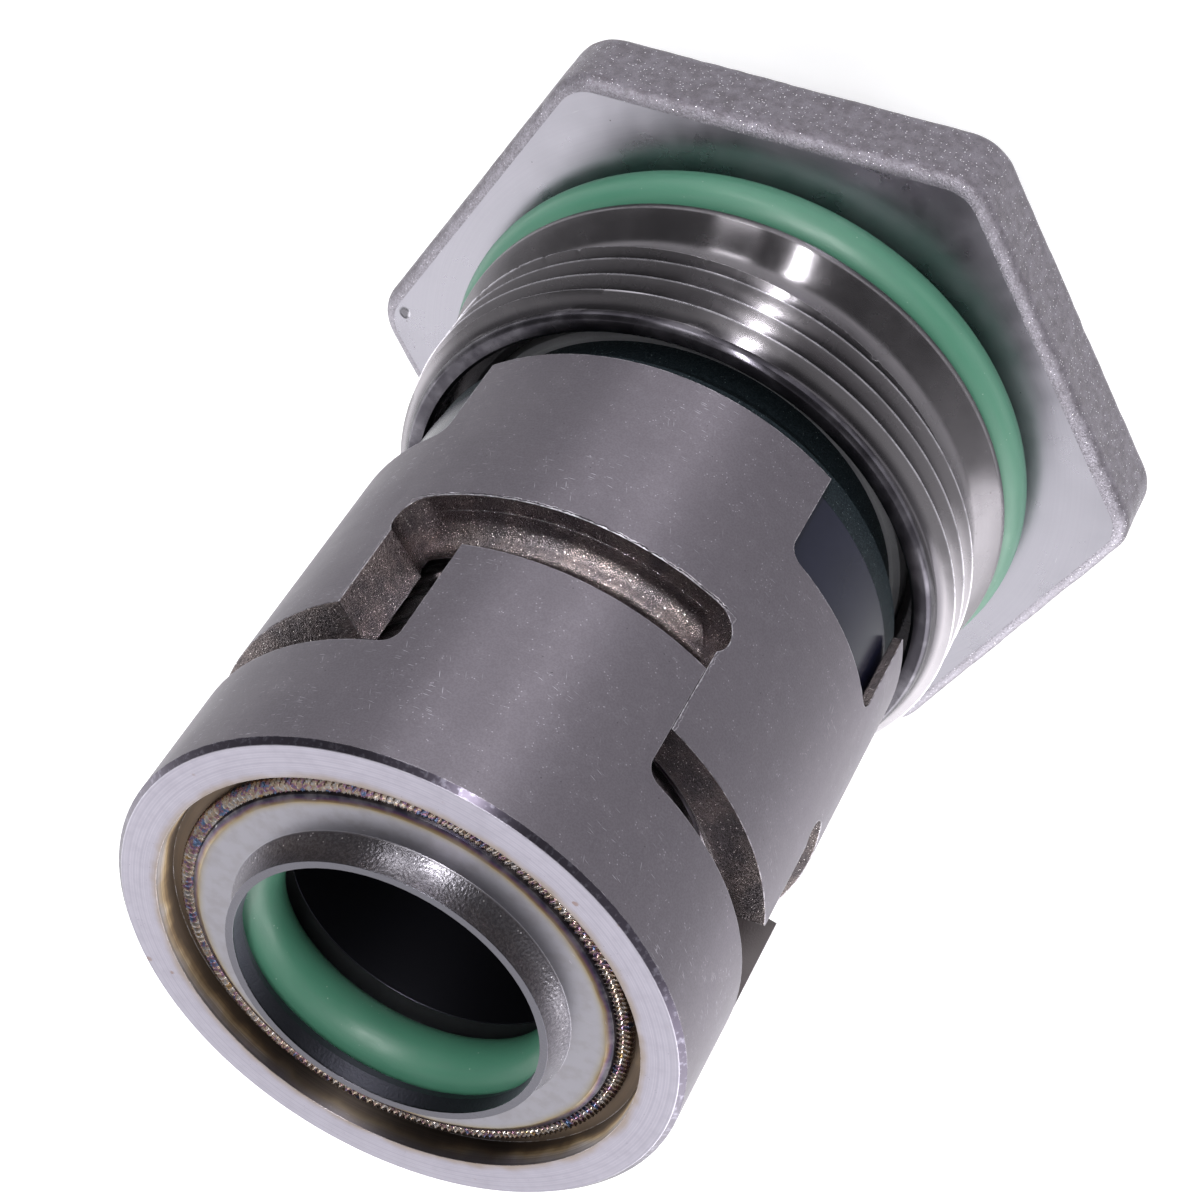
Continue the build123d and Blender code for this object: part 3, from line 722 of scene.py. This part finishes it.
def hexagon(inset):
    """Distance from the axis to the rounded hexagon, moved in by inset, with flats facing +Y and -Y."""
    to_corner = np.abs((angles + TAU / 12) % (TAU / 6) - TAU / 12)
    off_flat = TAU / 12 - to_corner
    flat = HALF_FLATS - inset
    centre = (HALF_FLATS - CORNER_R) / math.cos(TAU / 12)
    small = max(CORNER_R - inset, 0.05)
    reach = np.sin(to_corner) * centre
    on_corner = centre * np.cos(to_corner) + np.sqrt(np.maximum(small * small - reach * reach, 0))
    limit = math.atan((HALF_FLATS - CORNER_R) * math.tan(TAU / 12) / flat)
    return np.where(off_flat <= limit, flat / np.cos(off_flat), on_corner)


def hex_row(inset, height, rough=1.0):
    """The hexagon's outline with the cast skin's unevenness, which rough 0 leaves out."""
    wave = bumps(angles, height, 3.0, 2.6) * 0.05 + bumps(angles, height, 11.0, 0.7) * 0.03
    lift = bumps(angles, height, 21.0, 1.2) * 0.02
    return hexagon(inset) - rough * np.maximum(wave, -0.02) - HEX_INSET * rough, height + rough * lift


def thread_radius(height, turn):
    """Sharp crest and round root, running out on the lead at the open end."""
    one_crest_z, one_crest_turn = 24.70, math.radians(256.5)
    crest_flat, root_curve = 0.05, 1.65
    lead_start, lead_length = 24.80, 0.55
    depth = THREAD_CREST - THREAD_ROOT
    phase = (height - one_crest_z) / THREAD_PITCH - (turn - one_crest_turn) / TAU
    away = np.abs(phase - np.round(phase)) * 2
    away = np.clip((away - crest_flat) / (1 - crest_flat), 0, 1)
    radius = THREAD_CREST - depth * (1 - (1 - away) ** root_curve)
    lead = THREAD_CREST - np.clip((height - lead_start) / lead_length, 0, 1) * depth
    return np.minimum(radius, lead)


def threaded_gland():
    """The gland as rows of points, from its back face over the hexagon and thread and down the bore."""
    rows = []
    zones = []

    def lay(path, zone):
        rows.extend(circle_rows(angles, path))
        zones.extend([zone] * len(path))

    # hexagon, with rounded edges
    through = 9.95
    lay([(through, HEX_LOW + 0.5), (through + 0.5, HEX_LOW)], TURNED_ZONE)
    lay([hex_row(EDGE_R + 3.0, HEX_LOW, rough=0.0)], CAST_ZONE)
    quarter = [k / EDGE_STEPS * TAU / 4 for k in range(EDGE_STEPS + 1)]
    for a in quarter:
        height = HEX_LOW + EDGE_R * (1 - math.cos(a))
        lay([hex_row(EDGE_R * (1 - math.sin(a)), height, rough=1.0 if a else 0.0)], CAST_ZONE)
    side_height = HEX_TOP - HEX_LOW - 2 * EDGE_R
    for k in range(1, SIDE_STEPS):
        lay([hex_row(0.0, HEX_LOW + EDGE_R + k / SIDE_STEPS * side_height)], CAST_ZONE)
    for a in quarter[:-1]:
        lay([hex_row(EDGE_R * (1 - math.cos(a)), HEX_TOP - EDGE_R * (1 - math.sin(a)))], CAST_ZONE)
    lay([hex_row(EDGE_R, HEX_TOP, rough=0.0)], FACE_ZONE)

    # groove of the O-ring, land, and relief up to the thread
    groove, land, relief = 14.43, 16.90, 15.48
    groove_top = HEX_TOP + 3.45
    land_top = groove_top + 0.57
    relief_low = groove_top + 2.17
    relief_high = relief_low + 0.73
    lay([(17.6, HEX_TOP), (groove + 0.1, HEX_TOP)], FACE_ZONE)
    lay([(groove, HEX_TOP + 0.1), (groove, groove_top - 0.1), (groove + 0.1, groove_top),
         (land - 0.18, groove_top), (land - 0.06, groove_top + 0.05), (land, groove_top + 0.17),
         (land, land_top - 0.10), (land - 0.06, land_top),
         (land - 0.55, land_top + 0.50), (land - 0.95, land_top + 0.90),
         (relief + 0.24, relief_low - 0.52), (relief + 0.08, relief_low - 0.30), (relief, relief_low),
         (relief, relief_high), (relief + 0.04, relief_high + 0.27), (relief + 0.16, THREAD_LOW - 0.05)],
        TURNED_ZONE)

    # thread: rows that climb one pitch a turn, held between its two ends, with a chipped start
    steps = 14
    helix_rows = int(math.ceil((THREAD_END - THREAD_LOW) / THREAD_PITCH * steps)) + steps + 1
    chips = np.clip(bumps(angles, 20.4, 5.0, 0.35) - 0.30, 0, 1) * 0.30
    chip_height = 0.12
    lay([(thread_radius(THREAD_LOW, angles) - chips, THREAD_LOW)], THREAD_ZONE)
    wraps = list(range(len(rows)))
    start = len(rows)
    for k in range(helix_rows):
        climb = THREAD_PITCH * (k / steps - 1 + angles / TAU)
        height = np.clip(THREAD_LOW + climb, THREAD_LOW, THREAD_END)
        fade = np.clip(1 - (height - THREAD_LOW) / chip_height, 0, 1)
        lay([(thread_radius(height, angles) - chips * fade, height)], THREAD_ZONE)
        wraps.append(min(start + k + steps, start + helix_rows - 1))

    # open end, bore, and pocket of the seat
    tail = len(rows)
    end, bore, pocket = 26.0, 14.45, 13.1
    bore_floor, pocket_floor = 23.0, 12.8
    lay([(THREAD_ROOT, THREAD_END), (THREAD_ROOT + 0.01, end - 0.30), (THREAD_ROOT - 0.02, end - 0.20),
         (THREAD_ROOT - 0.20, end - 0.03), (THREAD_ROOT - 0.27, end),
         (bore + 0.22, end), (bore + 0.03, end - 0.18), (bore, end - 0.26), (bore, bore_floor + 0.02)],
        THREAD_ZONE)
    lay([(bore - 0.02, bore_floor), (pocket + 0.52, bore_floor), (pocket + 0.48, bore_floor - 0.02),
         (pocket + 0.02, bore_floor - 0.48), (pocket, bore_floor - 0.54), (pocket, pocket_floor + 0.02),
         (pocket - 0.02, pocket_floor), (through + 0.02, pocket_floor), (through, pocket_floor - 0.02)],
        TURNED_ZONE)
    wraps.extend(range(tail, len(rows)))
    materials = [steel_gland, steel_cast, steel_face, steel_thread]
    return skin("gland_plate_threaded", rows, materials, 32, zones, wraps)


gland = threaded_gland()
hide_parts("gland_plate")
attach(gland, "gland")


# ---------------------------------------------------------------- weld bead
def weld_bead():
    """Half-round bead of saw-toothed ripples, each swept back towards the bead's edges."""
    columns, ripples, section_steps = 1680, 210, 18
    below_middle = 0.35
    half_width, size_change, ripple_height = 0.43, 0.025, 0.15
    sweep, drift_ripples = 1.15, 1.6
    slow_side = 0.68
    turns = np.arange(columns) * TAU / columns
    drift = ring_noise(turns, 3, 1.7)
    size = ring_noise(turns, 9, 6.1)
    rows = []
    for k in range(section_steps):
        a = -below_middle + k / (section_steps - 1) * (math.pi + 2 * below_middle)
        ripple = (turns * ripples / TAU + drift * drift_ripples + sweep * math.cos(a) ** 2) % 1.0
        rise = np.where(ripple < slow_side, ripple / slow_side, (1 - ripple) / (1 - slow_side))
        swell = half_width + size_change * size + ripple_height * (rise - 0.5) * max(math.sin(a) + 0.25, 0)
        radius = BEAD_R + swell * math.cos(a) * 1.04
        height = BEAD_TOP - 0.47 + swell * math.sin(a) * 0.98
        rows.append(np.stack([radius * np.cos(turns), radius * np.sin(turns), height], 1))
    return skin("weld_bead", rows, [weld], 60)


bead = weld_bead()
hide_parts("weld_seam")
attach(bead, "shaft_unit")


# ---------------------------------------------------------------- shaft O-ring, pressed against its groove
def pressed_o_ring():
    """Round cord whose outer side stops at the groove's wall."""
    cord_r, centre_r, centre_z, groove_wall = 1.75, 9.0, 56.65, 10.25
    columns, section_steps = 240, 40
    turns = np.arange(columns) * TAU / columns
    path = []
    for k in range(section_steps):
        a = k / section_steps * TAU
        path.append((min(centre_r + cord_r * math.cos(a), groove_wall), centre_z + cord_r * math.sin(a)))
    return skin("shaft_o_ring_pressed", circle_rows(turns, path), [rubber], 60)


o_ring = pressed_o_ring()
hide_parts("shaft_o_ring")
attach(o_ring, "shaft_unit")


# ---------------------------------------------------------------- raised inner rims of the three windows
def rim_profile():
    """Section of a rim as (radius, height): a cove that climbs from the window's floor to a rounded crown."""
    cove_r, crown_r = 0.95, 0.50
    cove_start, cove_floor = 13.55, WINDOW_FLOOR + 0.012
    bottom, inner = WINDOW_FLOOR - 0.2, 11.93
    steepest_deg = 78
    profile = [(14.0, bottom), (14.0, WINDOW_FLOOR + 0.004), (cove_start, cove_floor)]
    for k in range(1, 9):
        a = math.radians(90 - k / 8 * steepest_deg)
        profile.append((cove_start - cove_r * math.cos(a), cove_floor + cove_r * (1 - math.sin(a))))
    lean = math.radians(90 - steepest_deg)
    crown_x = profile[-1][0] - crown_r * math.cos(lean)
    crown_z = profile[-1][1] - crown_r * math.sin(lean)
    for k in range(1, 8):
        a = math.radians(90 - steepest_deg + k / 7 * steepest_deg)
        profile.append((crown_x + crown_r * math.cos(a), crown_z + crown_r * math.sin(a)))
    top = profile[-1][1]
    return profile + [(inner + 0.03, top), (inner, top - 0.04), (inner, bottom)]


def window_rims():
    """The rim's section swept along each window and a little into its side walls."""
    steps = 72
    half = WINDOW_HALF * 1.055
    profile = rim_profile()
    per = len(profile)
    points = []
    faces = []
    for window in range(3):
        base = len(points)
        middle = math.radians(HEAD_TURN + 120 * window)
        for j in range(steps + 1):
            a = middle + half * (2 * j / steps - 1)
            points += [(r * math.cos(a) * MM, r * math.sin(a) * MM, z * MM) for r, z in profile]
        for row in range(base, base + steps * per, per):
            for i in range(per):
                after = (i + 1) % per
                faces.append((row + i, row + after, row + per + after, row + per + i))
        faces.append(tuple(range(base, base + per)))
        faces.append(tuple(range(base + (steps + 1) * per - 1, base + steps * per - 1, -1)))
    return mesh_piece("torque_ring_rims", points, faces, [0] * len(faces), [steel_ring], 40)


rims = window_rims()
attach(rims, "seal_head")


# ---------------------------------------------------------------- studio
def studio_world():
    """Sky that is white to the camera, and lights the part from one side more than the other."""
    dim, lit = 0.18, 1.0
    lit_turn = math.radians(95)
    world = bpy.data.worlds.new("studio")
    world.use_nodes = True
    nodes = Nodes(world.node_tree)
    direction = nodes.add("ShaderNodeTexCoord").outputs["Generated"]
    facing = nodes.vec("DOT_PRODUCT", direction, (math.cos(lit_turn), math.sin(lit_turn), 0.25))
    light = nodes.step(facing, -0.35, 0.55, dim, lit)
    seen = nodes.add("ShaderNodeLightPath").outputs["Is Camera Ray"]
    level = nodes.add("ShaderNodeMix", {0: seen, 2: light, 3: 1.0}, data_type="FLOAT").outputs[0]
    background = world.node_tree.nodes["Background"]
    background.inputs["Color"].default_value = (1.0, 1.0, 1.0, 1.0)
    world.node_tree.links.new(level, background.inputs["Strength"])
    return world


def floor_white():
    """Matt pale floor that keeps its shadow, lifted to white for the lens and for mirrored views of it."""
    lift = 0.36
    look = bpy.data.materials.new("floor_white")
    look.use_nodes = True
    look.node_tree.nodes.clear()
    nodes = Nodes(look.node_tree)
    rays = nodes.add("ShaderNodeLightPath").outputs
    seen = nodes.most(nodes.most(rays["Is Camera Ray"], rays["Is Glossy Ray"]), rays["Is Transmission Ray"])
    glow = nodes.add("ShaderNodeEmission", {"Strength": nodes.times(seen, lift)}).outputs[0]
    matt = nodes.add("ShaderNodeBsdfDiffuse", {"Color": (0.80, 0.80, 0.81, 1.0)}).outputs[0]
    both = nodes.add("ShaderNodeAddShader", {0: matt, 1: glow}).outputs[0]
    nodes.add("ShaderNodeOutputMaterial", {"Surface": both})
    return look


def softbox(name, turn, up, away, size, radiance):
    """Area lamp facing the part, turn and up in degrees; radiance 1 looks white."""
    lamp = bpy.data.lights.new(name, "AREA")
    lamp.shape = "RECTANGLE"
    lamp.size, lamp.size_y = size
    lamp.energy = radiance * math.pi * size[0] * size[1]
    turn, up = math.radians(turn), math.radians(up)
    back = Vector((math.cos(turn) * math.cos(up), math.sin(turn) * math.cos(up), math.sin(up)))
    thing = bpy.data.objects.new(name, lamp)
    thing.location = PART_MIDDLE + back * away
    thing.rotation_mode = "QUATERNION"
    thing.rotation_quaternion = back.to_track_quat("Z", "Y")
    scene.collection.objects.link(thing)


scene.world = studio_world()

FLOOR_REACH = 8.0
floor_mesh = bpy.data.meshes.new("floor")
floor_corners = [(x * FLOOR_REACH, y * FLOOR_REACH, 0) for x, y in ((-1, -1), (1, -1), (1, 1), (-1, 1))]
floor_mesh.from_pydata(floor_corners, [], [(0, 1, 2, 3)])
floor_mesh.materials.append(floor_white())
floor = bpy.data.objects.new("floor", floor_mesh)
scene.collection.objects.link(floor)

PART_MIDDLE = Vector((0, 0, 0.030))
softbox("key", turn=66, up=50, away=0.55, size=(0.40, 0.36), radiance=1.05)
softbox("side_right", turn=129, up=17, away=0.50, size=(0.60, 0.30), radiance=5.0)
softbox("side_left", turn=32, up=16, away=0.50, size=(0.26, 0.26), radiance=3.1)
softbox("strip_front", turn=261.5, up=38, away=0.50, size=(0.022, 0.36), radiance=85.0)
softbox("low_front", turn=283, up=8, away=0.42, size=(0.10, 0.12), radiance=9.0)
